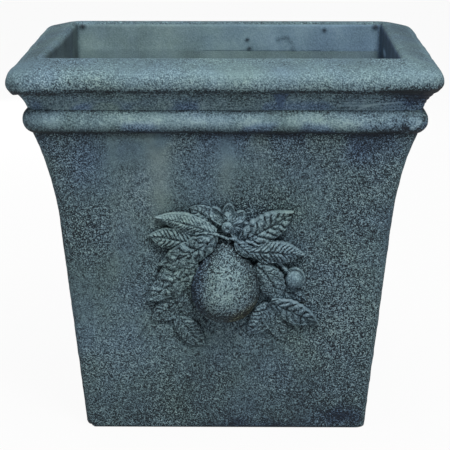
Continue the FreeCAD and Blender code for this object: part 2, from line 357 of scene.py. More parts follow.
def settle_wall(place, out, half, height, row):
    """Waves and grains the wall, knocks off a foot corner, and sets its wash and painted shade."""
    if row >= wall_outer_count:
        near_top = ease(height, 0.16, 0.34)
        wash_and_light = 0.20 + 0.12 * noise.noise(place / inside_mottle)
        # Painted shade on the two inner sides, growing towards the top
        wash_and_light -= near_top * (left_painted_shade * max(0, -out.x) + right_painted_shade * max(0, out.x))
        return place, wash_and_light, inside_smooth, inside_brown - right_navy * max(0, out.x) * near_top
    skin = clay_skin(place)
    wash_and_light = 0.12 * skin
    # Painted shade: a dark line just under the roll band.
    wash_and_light -= 0.26 * bell(flare_height - height, 0.005)
    wash_and_light += 0.05 * ease(height, 0.215, 0.260) - 0.05 * bell(height - 0.215, 0.030)
    patch = noise.noise(place / 0.034 + Vector((4, 1, 8)))
    stain = -0.45 * ease(patch, 0.0, 0.30) * bell(flare_height - height, 0.022)
    wash_and_light += 0.22 * stain
    wash_and_light -= 0.12 * ease(patch, -0.1, 0.35) * bell(height, 0.016)
    # Painted shade: darker towards the foot.
    wash_and_light -= 0.07 * ease(0.085 - height, 0, 0.06)
    smooth = 0.15 + 0.55 * noise.noise(place / 0.045)
    if out.y < -square_on:
        for across, breadth, end, strength in wash_runs:
            edge = breadth * (1 + 0.5 * noise.noise(Vector((across * 9, 0, place.z / 0.03))))
            ends = end + 0.012 * noise.noise(Vector((place.x / 0.006, 5, 0)))
            run = strength * bell(place.x - across, edge) * ease(place.z, ends - 0.03, ends + 0.03)
            wash_and_light += run
            smooth += 3 * run
            stain += 1.5 * run
        wash_and_light -= 0.04 * ease(-place.x, 0.08, 0.15) * ease(place.z, 0.10, 0.20)
        wash_and_light -= 0.04 * ease(place.x, -0.06, 0.02) * ease(0.050 - place.z, 0, 0.04)
        smooth -= 0.3 * ease(place.x, 0.05, 0.12)
        ragged = place.z - 0.006 * noise.noise(place / 0.008)
        for patches, level in ((wall_patches, place.z), (damp_patches, ragged)):
            for across, up, breadth, tall, paler, smoother, browner in patches:
                near = bell(place.x - across, breadth) * bell(level - up, tall)
                wash_and_light += paler * near
                smooth += smoother * near
                stain += browner * near
    if height > foot_round:
        fade = min(1.0, height / foot_fade)
        place = place + out * (hand_waves(place) + skin_depth * skin) * fade
    beyond = chip_face.dot(place) - chip_level - chip_rough * noise.noise(place / 0.004)
    if beyond > 0:
        place = place - chip_face * beyond
        wash_and_light -= 0.10
    return place, wash_and_light, min(0.85, smooth), stain


def wall_corner_at(half, height, row):
    """The outer corners are rounder than the inner ones."""
    return wall_corner if row < wall_outer_count else inside_corner


wall_clay = washed_clay(
    "wall_clay", wash=0.445, speckle=1.06, grain=0.0013, hollow_reach=0.003, runs=0.12, bump=0.8
)
for side, turn in side_turns.items():
    wall = lay_side("wall_slab_" + side, wall_loop, turn, wall_corner_at, settle_wall)
    seat(wall, wall_clay, "wall_" + side)

# The floor is one slab, set between the foot of the four walls and pierced for drainage.
# Its top is dished a little by the hand that pressed it down, and the hole's lips are round.
floor_top = 0.026
floor_recess = 0.004
floor_gap = 0.0004
hole_radius = 0.015
hole_lip = 0.0016
floor_rings = 26
floor_turns = 144
floor_wave = 0.0006
floor_dish = 0.0008


def floor_half_at(height):
    """Half the floor's width at a height, a hair less than the room between the walls."""
    return foot_half - wall_thickness + math.tan(wall_lean) * height - floor_gap


def floor_section():
    """Share of the way from the hole to the wall, and height, as a closed loop."""
    lip = hole_lip / (floor_half_at(floor_top) - hole_radius)
    top = [(0, floor_top - hole_lip), (lip * 0.3, floor_top - hole_lip * 0.3), (lip, floor_top)]
    top += [(lip + (1 - lip) * ring / floor_rings, floor_top) for ring in range(1, floor_rings + 1)]
    low = [(share, floor_recess) for share in (1, 0.66, 0.33, lip)]
    return top + low + [(0, floor_recess + hole_lip), (0, (floor_recess + floor_top) / 2)]


floor_loop = floor_section()
bm = bmesh.new()
bmesh.ops.create_grid(bm, x_segments=floor_turns, y_segments=len(floor_loop), size=1)
wash_and_light = bm.verts.layers.float.new("wash_and_light")
for vert in bm.verts:
    angle = (vert.co.x + 1) * math.pi
    row = round((vert.co.y + 1) / 2 * len(floor_loop)) % len(floor_loop)
    share, height = floor_loop[row]
    way = Vector((math.cos(angle), math.sin(angle), 0))
    straight = floor_half_at(height) / max(abs(way.x), abs(way.y))
    edge = min(straight, (floor_half_at(height) - inside_corner) * math.sqrt(2) + inside_corner)
    place = way * (hole_radius + (edge - hole_radius) * share) + Vector((0, 0, height))
    if height == floor_top:
        place.z += floor_wave * noise.noise(place / 0.03) - floor_dish * bell(share, 0.6)
    vert.co = place
    vert[wash_and_light] = 0.15 * noise.noise(place / 0.02) - 0.15 * bell(share, 0.12)
bmesh.ops.remove_doubles(bm, verts=bm.verts, dist=weld_reach)
inside_clay = washed_clay("inside_clay", wash=0.50, speckle=0.7, bump=0.4)
seat(finish_piece(bm, "floor_slab_pierced", sharp=40), inside_clay, "floor_slab")

# The roll band is a coil of clay, laid round the neck and rubbed half round with the palm.
# It stands a little uneven, and its underside meets the wall in a crease, painted dark as shade.
band_half = 0.1959
band_radius = 0.0130
band_inset = 0.004
band_foot_turn = math.radians(-86)
band_top_turn = math.radians(62)
band_grain = 0.0020
band_arc_grain = 0.0014
coil_wander = 0.0008
coil_dent = 0.0003
band_centre_half = band_half - band_radius
band_height = neck_height - math.sqrt(band_radius ** 2 - (neck_half - band_centre_half) ** 2)


def band_section():
    """The half-round outside of the roll and its hidden back, let into the wall."""
    centre = (band_centre_half, band_height)
    outside = along_arc(centre, band_radius, band_foot_turn, band_top_turn, band_arc_grain)
    foot, top = outside[0], outside[-1]
    back = along_line(top, (top[0] - band_inset, top[1]), band_inset)[1:]
    back += along_line((top[0] - band_inset, top[1]), (foot[0] - band_inset, foot[1]), hidden_grain)
    return outside + back, len(outside)


band_loop, band_outer_count = band_section()


def settle_band(place, out, half, height, row):
    """Lets the coil wander and swell, pales its crown partly as a painted highlight, and paints shade below.
    """
    lift = coil_wander * noise.noise(place / 0.045 + Vector((7, 3, 1)))
    skin = clay_skin(place)
    rise = (height - band_height) / band_radius
    wash_and_light = 0.10 * skin + 0.03
    # The crown is pale, partly from the wash and partly as a painted highlight.
    wash_and_light += 0.24 * bell(rise + 0.02, 0.50) * (1 + 0.7 * noise.noise(place / 0.030))
    wash_and_light += 0.32 * bell(rise - 0.05, 0.60) * noise.noise(place / 0.020 + Vector((0, 6, 2)))
    # Painted shade on the underside, and on the top edge in the shadow of the rim's nose.
    wash_and_light -= 0.50 * ease(-rise, 0.50, 0.95)
    wash_and_light -= 0.10 * ease(rise, 0.55, 0.85)
    patch = noise.noise(place / 0.03 + Vector((1, 1, 4)))
    stain = -0.6 * ease(patch, 0.0, 0.3) * ease(-rise, -0.2, 0.5)
    wash_and_light += 0.12 * stain
    right_end = ease(place.x, 0.128, 0.19) * ease(-place.y, 0.12, 0.18) * ease(-rise, -0.75, 0.1)
    wash_and_light -= right_end * (0.38 + 0.9 * noise.noise(place / 0.006))
    wash_and_light -= 0.20 * ease(-place.x, 0.165, 0.195) * ease(-rise, -0.2, 0.5)
    stain -= 0.2 * right_end
    smooth = 0.2 + 0.5 * noise.noise(place / 0.03 + Vector((5, 0, 0))) - 0.4 * right_end
    swell = 0
    if row < band_outer_count:
        swell = hand_waves(place, wave_depth, coil_dent) + skin_depth * 0.8 * skin
    return place + out * swell + Vector((0, 0, lift)), wash_and_light, smooth, stain


def band_corner_at(half, height, row):
    """The coil bends round the wall's corner, more widely where it stands further out."""
    return max(0.002, wall_corner + half - flare_half)


band_clay = washed_clay("band_clay", wash=0.50, hollow_stain_and_shade=0.7)
for side, turn in side_turns.items():
    name = "roll_band_coil_" + side
    band = lay_side(name, band_loop, turn, band_corner_at, settle_band, band_grain)
    seat(band, band_clay, "roll_band_" + side)

# The rim is a thick roll of clay luted on the neck and drawn over with a wet hand. Its round
# nose ends below in a crisp scalloped arris over a hollow, and its top climbs inwards to a
# soft edge. At the front left corner a pad of clay was thumbed on. A seam shows inside.
rim_half = 0.2100
pot_height = 0.3800
rim_corner = 0.0210
crest_half = 0.1780
crest_corner = 0.0140
nose_radius = 0.0144
nose_drop = 0.0200
nose_turn = math.radians(52)
arris_step = 0.0014
cove_hollow = 0.0018
mouth_round = 0.0062
rim_grain = 0.0022
rim_arc_grain = 0.0012
inner_rim_grain = 0.0014
seam_depth = 0.00012
seam_place = 0.0022
mouth_pull = 0.0060
rim_wave = 0.0010
rim_wander = 0.0007
scallop_depth = 0.0010
scallop_length = 0.011
arris_drop = 0.0012
pad_drop = 0.0022
pad_rise = 0.0012
rim_right_painted_shade = 0.31
nose_half = rim_half - nose_radius
nose_height = pot_height - nose_drop
arris_half = nose_half + nose_radius * math.cos(nose_turn)
arris_height = nose_height - nose_radius * math.sin(nose_turn)
seam_height = neck_height + seam_rise

# Faults on the far inner face: place across and up, breadth, depth, darkness
inner_faults = (
    (0.0209, 0.3599, 0.0021, 0.0012, 0.75),
    (0.0232, 0.3497, 0.0024, 0.0008, 0.60),
    (0.1074, 0.3706, 0.0024, 0.0009, 0.60),
    (0.0558, 0.3600, 0.0030, 0.0003, 0.25),
    (0.0610, 0.3620, 0.0030, 0.0003, 0.28),
    (0.0660, 0.3616, 0.0030, 0.0003, 0.28),
    (0.0700, 0.3570, 0.0030, 0.0003, 0.26),
    (0.0720, 0.3500, 0.0034, 0.0003, 0.22),
    (0.0745, 0.3440, 0.0034, 0.0003, 0.20),
    (-0.1640, 0.3745, 0.0034, 0.0010, 0.60),
    (0.1640, 0.3740, 0.0034, 0.0010, 0.60),
)

# A pale spot on the right inner face: place across and up, reach across and up
inner_pale_spot = (0.095, 0.3535, 0.020, 0.0032)

# The dark wedge in the front hollow, and the fine ridges drawn in it towards the right
wedge_place = 0.053
wedge_foot = 0.001
wedge_spread = 0.012
ridge_pitch = 0.00055
ridge_depth = 0.0004

# Thin pale lines drawn in the front hollow: from a place across and a share up, to another
cove_lines = (
    (0.108, 0.185, 0.144, 0.205, 0.36),
    (0.142, 0.215, 0.172, 0.305, 0.42),
    (0.128, 0.050, 0.139, 0.190, 0.44),
    (0.112, 0.290, 0.126, 0.300, 0.34),
)


def rim_section():
    """The rim's section as a closed loop, from the neck up the outside and down the inside."""
    cove_top = (arris_half - arris_step, arris_height + arris_step * 0.4)
    chord = math.dist(cove_top, (neck_half, neck_height))
    heading = math.atan2(cove_top[1] - neck_height, cove_top[0] - neck_half)
    radius = (chord ** 2 / 4 + cove_hollow ** 2) / (2 * cove_hollow)
    half_turn = math.asin(chord / 2 / radius)
    first = heading + math.pi / 2 + half_turn
    centre = (neck_half - radius * math.cos(first), neck_height - radius * math.sin(first))
    loop = along_arc(centre, radius, first, first - 2 * half_turn, rim_arc_grain)
    crest = (crest_half - nose_half, pot_height - nose_height)
    reach = math.hypot(crest[0], crest[1])
    leave = math.atan2(crest[1], crest[0]) - math.acos(nose_radius / reach)
    loop += along_arc((nose_half, nose_height), nose_radius, -nose_turn, leave, rim_arc_grain)
    top_start = loop.pop()
    loop += along_line(top_start, (crest_half, pot_height), rim_grain)
    inner = (mouth_half + mouth_round, pot_height - mouth_round)
    loop += along_arc(inner, mouth_round, math.pi / 2, math.pi, rim_arc_grain)
    seam = (mouth_half, seam_height)
    loop += along_line((mouth_half, pot_height - mouth_round), seam, inner_rim_grain)[1:]
    loop += along_line(seam, (neck_half, neck_height), hidden_grain)
    return loop


rim_loop = rim_section()


def rim_corner_at(half, height, row):
    """The corner opens from the neck to the nose and closes again towards the crest."""
    if height < nose_height and half > mouth_half + 0.001:
        share = max(0, (half - neck_half) / (rim_half - neck_half))
        return wall_corner + (rim_corner - wall_corner) * share
    if half > crest_half:
        share = (half - crest_half) / (rim_half - crest_half)
        return crest_corner + (rim_corner - crest_corner) * share
    share = (half - mouth_half) / (crest_half - mouth_half)
    return inside_corner + (crest_corner - inside_corner) * share


def mouth_shift(place, half, height):
    """How far the mouth was drawn wide, at its front left corner."""
    near_corner = ease(-place.x, 0.11, 0.17) * ease(-place.y, -0.04, 0.15)
    near_mouth = ease(crest_half + 0.006 - half, 0, 0.008) * ease(height - seam_height, 0, 0.02)
    return Vector((-mouth_pull * near_corner * near_mouth, 0, 0))


def settle_inner_rim(place, out, half, height, push):
    """The inner face: its seam, painted shade on its sides, a pale spot on the right, far-side faults."""
    push *= 0.5 * ease(height - seam_height, 0.0, 0.008)
    from_seam = height - seam_height - seam_place
    push -= seam_depth * bell(from_seam, 0.0012)
    wash_and_light = 0.18 + 0.12 * noise.noise(place / inside_mottle) - 0.03 * bell(from_seam, 0.0030)
    # Painted shade on the two inner sides
    wash_and_light -= left_painted_shade * max(0, -out.x) + rim_right_painted_shade * max(0, out.x)
    stain = inside_brown - right_navy * max(0, out.x)
    if out.x > square_on:
        across, up, breadth, tall = inner_pale_spot
        wash_and_light += bell(place.y - across, breadth) * bell(place.z - up, tall)
    if out.y > square_on:
        wash_and_light += 0.10 * bell(place.x - 0.055, 0.040)
        stain -= 0.55 * ease(place.x, -0.08, 0.10)
        for across, up, breadth, depth, dark in inner_faults:
            near = bell(math.hypot(place.x - across, place.z - up), breadth)
            push -= depth * near
            wash_and_light -= dark * near
    return place + out * push + mouth_shift(place, half, height), wash_and_light, inside_smooth, stain


def settle_hollow(place, out, height, push, sag, skin):
    """The hollow under the nose, in the nose's painted shadow above, with drawn lines and ridges."""
    up = (height - neck_height) / (nose_height - neck_height)
    patch = noise.noise(place / 0.030 + Vector((3, 3, 9)))
    stain = -0.8 * ease(patch, 0.0, 0.25) * bell(up - 0.12, 0.22)
    wash_and_light = 0.11 + 0.12 * noise.noise(place / 0.02) + 0.12 * skin
    # Painted shadow of the nose: dark at the top of the hollow, paler towards its foot.
    wash_and_light += 0.12 * bell(up, 0.16) + 0.14 * stain - 0.34 * ease(up, 0.26, 0.72)
    right_end = ease(place.x, 0.135, 0.190) * ease(-place.y, 0.12, 0.18)
    wash_and_light -= right_end * (0.20 + 0.25 * ease(up, 0.1, 0.4))
    stain -= 0.7 * right_end
    smooth = 0.1
    wedge_half = wedge_foot + wedge_spread * up
    wedge = ease(wedge_half - abs(place.x - wedge_place), 0.0, 0.002) * ease(-out.y, 0.8, 0.9)
    stain -= 0.9 * wedge
    wash_and_light -= 0.10 * wedge
    smooth += 0.6 * wedge
    for start, low, end, high, strength in cove_lines:
        along = (place.x - start) / (end - start)
        if out.y < -square_on and 0 < along < 1:
            line = strength * bell(up - low - (high - low) * along, 0.03)
            wash_and_light += line
            smooth += 1.2 * line
    ridges = math.sin(height / ridge_pitch + 2.0 * noise.noise(place / 0.03))
    drawn = ridges * ease(place.x, 0.06, 0.14) * ease(-place.y, 0.15, 0.17)
    push += ridge_depth * drawn + skin_depth * skin
    wash_and_light += 0.07 * drawn
    fade = ease(up, 0.0, 0.25)
    return place + out * push * fade + Vector((0, 0, sag * fade)), wash_and_light, min(0.9, smooth), stain


def settle_nose(place, out, turn, push, sag, skin):
    """The nose: a scalloped arris below, a thumbed pad at the left, a wiped top and painted shade under it.
    """
    round_rim = Vector((place.x + place.y, place.x - place.y, 0))
    scallop = scallop_depth * noise.noise(round_rim / scallop_length)
    pad = ease(-place.x, 0.150, 0.162) * ease(-place.y, 0.13, 0.17)
    sag += ease(-turn, 10, 48) * (scallop + arris_drop - pad_drop * pad)
    push += pad_rise * pad * ease(-turn, -20, 20) + skin_depth * skin * ease(-turn, -30, 10)
    wash_and_light = 0.13 - 0.16 * ease(turn, 20, 72) - 0.03 * ease(-turn, -10, 20)
    # Painted shade on the nose's underside, down to the arris.
    wash_and_light += 0.16 * skin * ease(-turn, -40, 0) - 0.50 * ease(-turn, 22, 38)
    wash_and_light += 0.10 * bell(turn + 30, 10) * ease(noise.noise(place / 0.018), 0.0, 0.3)
    right_end = ease(place.x, 0.12, 0.20)
    wash_and_light -= right_end * (0.10 * ease(-turn, -10, 20) + 0.36 * ease(-turn, -5, 25))
    smooth = 0.5 - 0.5 * ease(-turn, -50, 10) + 0.4 * noise.noise(place / 0.035)
    return place + out * push + Vector((0, 0, sag)), wash_and_light, smooth, 0.0


def settle_rim(place, out, half, height, row):
    """Shapes the hand-drawn rim, one part of its section at a time, and says where it is pale."""
    skin = clay_skin(place)
    push = hand_waves(place + Vector((0.3, 0, 0)), rim_wave, coil_dent)
    sag = rim_wander * noise.noise(place / 0.05 + Vector((2, 9, 4)))
    if half <= mouth_half + 0.0005 and height > seam_height - 0.0001:
        return settle_inner_rim(place, out, half, height, push)
    if height < nose_height and mouth_half < half < arris_half:
        return settle_hollow(place, out, height, push, sag, skin)
    turn = math.degrees(math.atan2(height - nose_height, half - nose_half))
    if half > nose_half - 0.002 and turn < 80:
        return settle_nose(place, out, turn, push, sag, skin)
    wash_and_light = -0.05 + 0.05 * noise.noise(place / 0.03) + 0.04 * skin
    wash_and_light -= 0.14 * bell(place.y - crest_half - 0.003, 0.005)
    wash_and_light -= 0.08 * ease(abs(place.x), 0.17, 0.19) * ease(place.y, -0.17, -0.10)
    smooth = 0.5 + 0.4 * noise.noise(place / 0.035)
    sag *= ease(half, crest_half - 0.004, crest_half + 0.01)
    shift = mouth_shift(place, half, height) + Vector((0, 0, sag))
    return place + out * push + shift, wash_and_light, smooth, 0.0


rim_clay = washed_clay("rim_clay", wash=0.54, hollow_stain_and_shade=0.35)
for side, turn in side_turns.items():
    rim = lay_side("rim_roll_" + side, rim_loop, turn, rim_corner_at, settle_rim, rim_grain)
    seat(rim, rim_clay, "rim_" + side)

# The fruit is pressed in a mould of its own and luted on the front wall.
# It is round below, narrows to its stalk like a quince, and its rind is pitted all over.
fruit_height = 0.1490
fruit_radius = 0.0340
fruit_neck = 0.0520
fruit_depth = 0.0020
rind_depth = 0.00055
rind_pitch = 0.0017
fruit_wave = 0.0006
stalk_end = 0.985


def wall_half_at(height):
    """Half the pot's outside width at a height below the roll band."""
    if height <= waist_height:
        return foot_half + math.tan(wall_lean) * height
    climb = math.sin(wall_lean) + (height - waist_height) / flare_radius
    return waist_half + flare_radius * (math.cos(wall_lean) - math.sqrt(1 - climb ** 2))


def on_wall(across, up, lift):
    """A place on the front wall, measured from the fruit's middle, raised out of its face."""
    height = fruit_height + up * math.cos(wall_lean)
    level = -wall_half_at(height) - lift * math.cos(wall_lean)
    return Vector((across, level, height - lift * math.sin(wall_lean)))


# Half the fruit's breadth from its middle to its stalk, both as shares of its radius
fruit_shares = ((0.0, 1.0), (0.3, 0.975), (0.6, 0.9), (0.98, 0.64), (1.22, 0.42), (1.52, 0.15))


def fruit_breadth(up):
    """Half the breadth at a height above the fruit's middle, both as shares of its radius."""
    if up <= 0:
        return math.sqrt(max(0, 1 - up * up))
    for (low, wide), (high, narrow) in zip(fruit_shares, fruit_shares[1:]):
        if up <= high:
            share = (up - low) / (high - low)
            return wide + (narrow - wide) * (ease(share, 0, 1) if low == 0 else share)
    return fruit_shares[-1][1]


def paint_light_from_above(bm, wash_and_light, share):
    """Paints light on what faces up and shade on what faces down, as a share of the wash."""
    face_outwards(bm)
    for vert in bm.verts:
        vert[wash_and_light] += share * vert.normal.z


bm = bmesh.new()
bmesh.ops.create_icosphere(bm, subdivisions=7, radius=1)
wash_and_light = bm.verts.layers.float.new("wash_and_light")
stain = bm.verts.layers.float.new("stain")
for vert in bm.verts:
    ball = vert.co.normalized()
    up = ball.y if ball.y < 0 else ball.y * fruit_neck / fruit_radius
    level = math.hypot(ball.x, ball.z)
    off_axis = level > 1e-6
    breadth = fruit_breadth(up) if off_axis else 0
    if ball.y > stalk_end:
        breadth *= level / math.sqrt(1 - stalk_end ** 2)
    way = Vector((ball.x, 0, ball.z)) / level if off_axis else Vector((0, 0, 1))
    place = Vector((way.x * breadth, up, way.z * breadth)) * fruit_radius
    pit = noise.noise(place / rind_pitch) + 0.4 * noise.noise(place / rind_pitch / 1.9)
    place += way * rind_depth * pit * min(1, level * 2)
    place += ball * fruit_wave * noise.noise(place / 0.016)
    vert.co = on_wall(place.x, place.y, place.z + fruit_depth)
    # Painted highlight near the middle, a little left; painted shade to the edge, bottom and left.
    pale = 0.16 * ball.z - 0.06 * ball.x - 0.10
    pale += 0.30 * bell(math.hypot(ball.x + 0.06, ball.y - 0.02), 0.46)
    pale -= 0.32 * ease(1 - ball.z, 0.10, 1.0)
    pale -= 0.62 * ease(-ball.y, 0.25, 0.85)
    pale -= 0.30 * ease(-ball.x, 0.30, 0.9)
    pale -= 0.30 * ease(-ball.x, 0.10, 0.50) * ease(ball.y, 0.35, 0.75)
    low_right = ease(0.45 * ball.x - ball.y, 0.48, 0.90) * ease(ball.x, -0.1, 0.3)
    vert[wash_and_light] = max(-0.32, pale) + 0.14 * ease(pit, 0.0, 0.4) - 0.26 * ease(-pit, 0.0, 0.4)
    vert[stain] = 1.1 * low_right - 0.7 * ease(-ball.x, 0.4, 0.9)
fruit_clay = washed_clay("fruit_clay", wash=0.50, speckle=1.5, grain=0.0013, hollow_reach=0.004)
# Painted light on what faces up and painted shade on what faces down.
paint_light_from_above(bm, wash_and_light, 0.12)
seat(finish_piece(bm, "fruit_rind", sharp=180), fruit_clay, "fruit")

# The leaves are sprigs of clay pressed in small moulds and luted round the fruit, the lowest
# first. Each has a grooved midrib, paired veins with pillows between them and a thin margin,
# and is filled solid behind. The lowest ones hardly stand off the wall.
relief_span = 0.172
leaf_width = 0.011
leaf_rise = 0.014
leaf_along = 110
leaf_across = 44
leaf_sink = 0.004
rib_depth = 0.0013
rib_breadth = 0.0011
vein_depth = 0.0009
margin_rise = 0.0003
crease_depth = 0.0007
arch_rise = 0.0010
roof_rise = 0.0024
pillow_rise = 0.0010
fold_rise = 0.0022
rough_rise = 0.0008
lump_rise = 0.0007
full_rise = 0.004
edge_drop = 0.0012
leaf_skin = 0.0004
foot_tuck = 0.97
skirt_order = Vector((1, 1000, 100000))

# Base, tip and bow as shares of the span; breadth as a share of a leaf's; rise at the base and
# at the tip as shares of a leaf's; the roof of its two halves, the pitch and the strength of
# its veins, how strongly its margin waves, and how much more wash it kept than the others
leaf_shares = {
    "small": ((0.06, 0.3), (0.16, 0.205), 0.0, 0.62, 1.0, 0.86, 0.5, 0.004, 0.5, 0.3, 0.1),
    "upper_left": ((-0.055, 0.345), (-0.4, 0.432), -0.012, 0.9, 0.76, 0.4, 1.4, 0.0036, 0.6, 0.5, 0.19),
    "upper_right": ((0.09, 0.3), (0.39, 0.468), -0.008, 1.3, 0.9, 0.56, -0.8, 0.0078, 1.4, 1.2, 0.14),
    "shoulder": ((-0.06, 0.325), (-0.386, 0.148), 0.02, 1.2, 1.0, 0.55, 0.6, 0.01, 1.1, 1.6, 0.12),
    "right": ((0.135, 0.24), (0.456, 0.21), 0.004, 1.05, 0.86, 0.5, 1.2, 0.0046, 1.0, 0.9, 0.06),
    "beside_fruit": ((0.175, 0.155), (0.302, -0.1), 0.032, 1.2, 0.68, 0.4, 0.4, 0.006, 0.25, 1.2, 0.04),
    "lower_right": ((0.258, -0.075), (0.541, -0.212), 0.0, 1.05, 0.5, 0.44, -1.4, 0.008, 1.1, 0.8, 0.12),
    "left": ((-0.17, 0.275), (-0.442, 0.32), -0.006, 1.05, 0.56, 0.34, 0.8, 0.0046, 1.0, 0.8, 0.11),
    "left_lobe": ((-0.16, 0.17), (-0.393, 0.07), 0.0, 1.15, 0.74, 0.44, 0.4, 0.0085, 1.2, 1.8, 0.12),
    "left_low": ((-0.17, 0.11), (-0.458, -0.075), -0.012, 1.15, 0.66, 0.38, 0.8, 0.0085, 0.9, 1.3, 0.09),
    "upper_left_back": ((-0.042, 0.372), (-0.205, 0.489), -0.01, 0.95, 0.44, 0.2, 0.6, 0.005, 0.6, 0.4, 0.08),
    "under_left": ((-0.245, 0.04), (-0.14, -0.205), 0.0, 1.35, 0.44, 0.14, 0.3, 0.007, 0.5, 0.7, -0.02),
    "under_right": ((0.25, -0.09), (0.119, -0.276), 0.02, 1.05, 0.24, 0.18, 0.3, 0.006, 0.6, 0.5, 0.0),
    "bottom_left": ((-0.275, -0.158), (-0.107, -0.353), -0.018, 1.02, 0.22, 0.15, 0.3, 0.005, 0.6, 0.4, 0.02),
    "lower_right_back": ((0.27, 0.0), (0.471, -0.077), 0.01, 0.75, 0.2, 0.1, 0.3, 0.006, 0.5, 0.3, 0.0),
    "left_foot": ((-0.24, -0.05), (-0.431, -0.204), 0.0, 1.05, 0.24, 0.1, 0.4, 0.006, 0.6, 0.6, -0.02),
    "bottom_right": ((0.25, -0.12), (0.346, -0.329), 0.0, 0.85, 0.18, 0.08, 0.3, 0.006, 0.6, 0.4, 0.0),
}


def leaf_breadth(share):
    """How broad a leaf is along its length, as a share of its broadest place."""
    swell = math.sin(math.pi * min(1, share * 0.96 + 0.04) ** 0.9) ** 0.8
    return (0.22 + 0.78 * swell) * (1 - share ** 9)


def press_sprig(
    name, base, tip, bow, width, rises, roof, pitch, veins, wave, pale, breadth_at, curl=0.0
):
    """A leaf or petal on the front wall, closed and filled down into the wall's face."""
    start, end = Vector(base) * relief_span, Vector(tip) * relief_span
    side = Vector((-(end - start).y, (end - start).x)).normalized()
    middle = (start + end) / 2 + side * bow * relief_span * 2
    length = (end - start).length
    bm = bmesh.new()
    bmesh.ops.create_grid(bm, x_segments=leaf_across, y_segments=leaf_along, size=1)
    skirt = bmesh.ops.extrude_edge_only(bm, edges=[e for e in bm.edges if e.is_boundary])["geom"]
    for vert in (part for part in skirt if isinstance(part, bmesh.types.BMVert)):
        vert.co.z = -1
    bmesh.ops.holes_fill(bm, edges=[e for e in bm.edges if e.is_boundary], sides=0)
    # Extruding gives the skirt's faces in any order, so all are sorted by their place
    bm.faces.sort(key=lambda face: face.calc_center_median().dot(skirt_order))
    wash_and_light = bm.verts.layers.float.new("wash_and_light")
    for vert in bm.verts:
        across = vert.co.x
        from_rib = abs(across)
        share = (vert.co.y + 1) / 2
        rest = 1 - share
        centre = start * rest * rest + middle * 2 * rest * share + end * share * share
        heading = (middle - start) * rest + (end - middle) * share
        normal = Vector((-heading.y, heading.x)).normalized()
        breadth = breadth_at(share)
        grain_at = Vector((centre.x, centre.y, across * 0.010))
        rough = noise.noise(grain_at / 0.0065 + Vector((3, bow * 70, 9)))
        phase = (share * length - from_rib * width * breadth * 0.85) / pitch + 0.45 * rough
        comb = math.cos(2 * math.pi * phase) * (0.75 + 0.5 * rough)
        groove = ease(comb, 0.15, 1.0) * ease(from_rib, 0.02, 0.16)
        groove *= 1 - 0.7 * ease(from_rib, 0.80, 1.0)
        pillow = ease(-comb, -0.9, 0.9) * math.sin(math.pi * min(1, 0.1 + 0.85 * from_rib))
        taper = min(1, breadth * 1.5) * ease(rest, 0.0, 0.12)
        rib = bell(from_rib * width * breadth, rib_breadth) * taper * ease(veins, 0, 0.3)
        margin = ease(from_rib, 0.80, 0.93)
        spread = Vector((centre.x, centre.y, across * 0.012))
        fold = wave * noise.noise(spread / 0.010 + Vector((bow * 90, 3, 1)))
        lumps = noise.noise(spread / 0.0045 + Vector((1, bow * 50, 2)))
        wrinkle = abs(noise.noise(spread / 0.008 + Vector((7, bow * 30, 5))))
        crease = wave * (1 - ease(wrinkle, 0.0, 0.10))
        half = width * breadth * (1 + (0.045 * comb + 0.10 * fold) * from_rib)
        height = leaf_rise * (rises[0] * rest + rises[1] * share)
        height += arch_rise * math.sin(math.pi * share)
        low = min(1, height / full_rise)
        height += roof * roof_rise * low * (-across if roof < 0 else 0.5 - from_rib)
        height -= rib_depth * low * rib
        height += low * veins * taper * (pillow_rise * pillow - vein_depth * groove)
        height += low * (margin_rise * margin + fold_rise * fold * from_rib + rough_rise * rough)
        height += low * (lump_rise * lumps - crease_depth * crease)
        height += curl * bell(share - 0.78, 0.25) * (from_rib ** 2 - 0.4)
        height -= (edge_drop + 0.2 * height) * ease(from_rib, 0.95, 1.0) + 0.3 * height * share ** 14
        # Painted shade at the edge, in the grooves and on the midrib; painted light on the pillows
        tone = pale + 0.10 * rough - 0.10 * crease - 0.12 * ease(from_rib, 0.88, 1.0)
        tone += 0.10 * pillow * veins - 0.16 * groove * veins - 0.18 * rib
        if vert.co.z < -0.5:
            half *= foot_tuck
            height = -leaf_sink
            # The sides that drop to the wall get painted shade.
            tone -= 0.15
        spot = centre + normal * across * half
        place = on_wall(spot.x, spot.y, height)
        skin = clay_skin(place)
        vert.co = place - Vector((0, leaf_skin, 0)) * (skin if vert.co.z >= -0.5 else 0)
        vert[wash_and_light] = tone + 0.12 * skin
    # Painted light on what faces up and painted shade on what faces down.
    paint_light_from_above(bm, wash_and_light, 0.42)
    return finish_piece(bm, name, sharp=55)


leaf_clay = washed_clay("leaf_clay", wash=0.53, grain=0.0012, hollow_reach=0.003, hollow_stain_and_shade=0.4)
for title, (base, tip, bow, breadth, rise, tip_rise, *carving) in leaf_shares.items():
    name = "sprig_leaf_" + title
    width = breadth * leaf_width
    rises = (rise, tip_rise)
    leaf = press_sprig(name, base, tip, bow, width, rises, *carving, leaf_breadth)
    seat(leaf, leaf_clay, "leaf_" + title)

# The blossom is a pierced button of clay with five small petals tucked under it.
# Its petals are cupped, with their edges turned up.
heart_place = (0.012, 0.382)
heart_radius = 0.0058
heart_rise = 0.0110
heart_wave = 0.0003
dimple_depth = 0.45
dimple_reach = 0.34
petal_width = 0.0062
petal_rises = (0.62, 0.50)
petal_broadest = 0.62
petal_end = 0.385

# Tip as shares of the span, breadth as a share of a petal's, and how far its edges turn up
petal_shares = (
    ((-0.078, 0.488), 1.05, 0.0050),
    ((0.024, 0.512), 0.95, 0.0066),
    ((0.112, 0.462), 0.9, 0.0030),
    ((0.16, 0.368), 0.9, 0.0030),
    ((0.085, 0.318), 0.7, 0.0020),
)


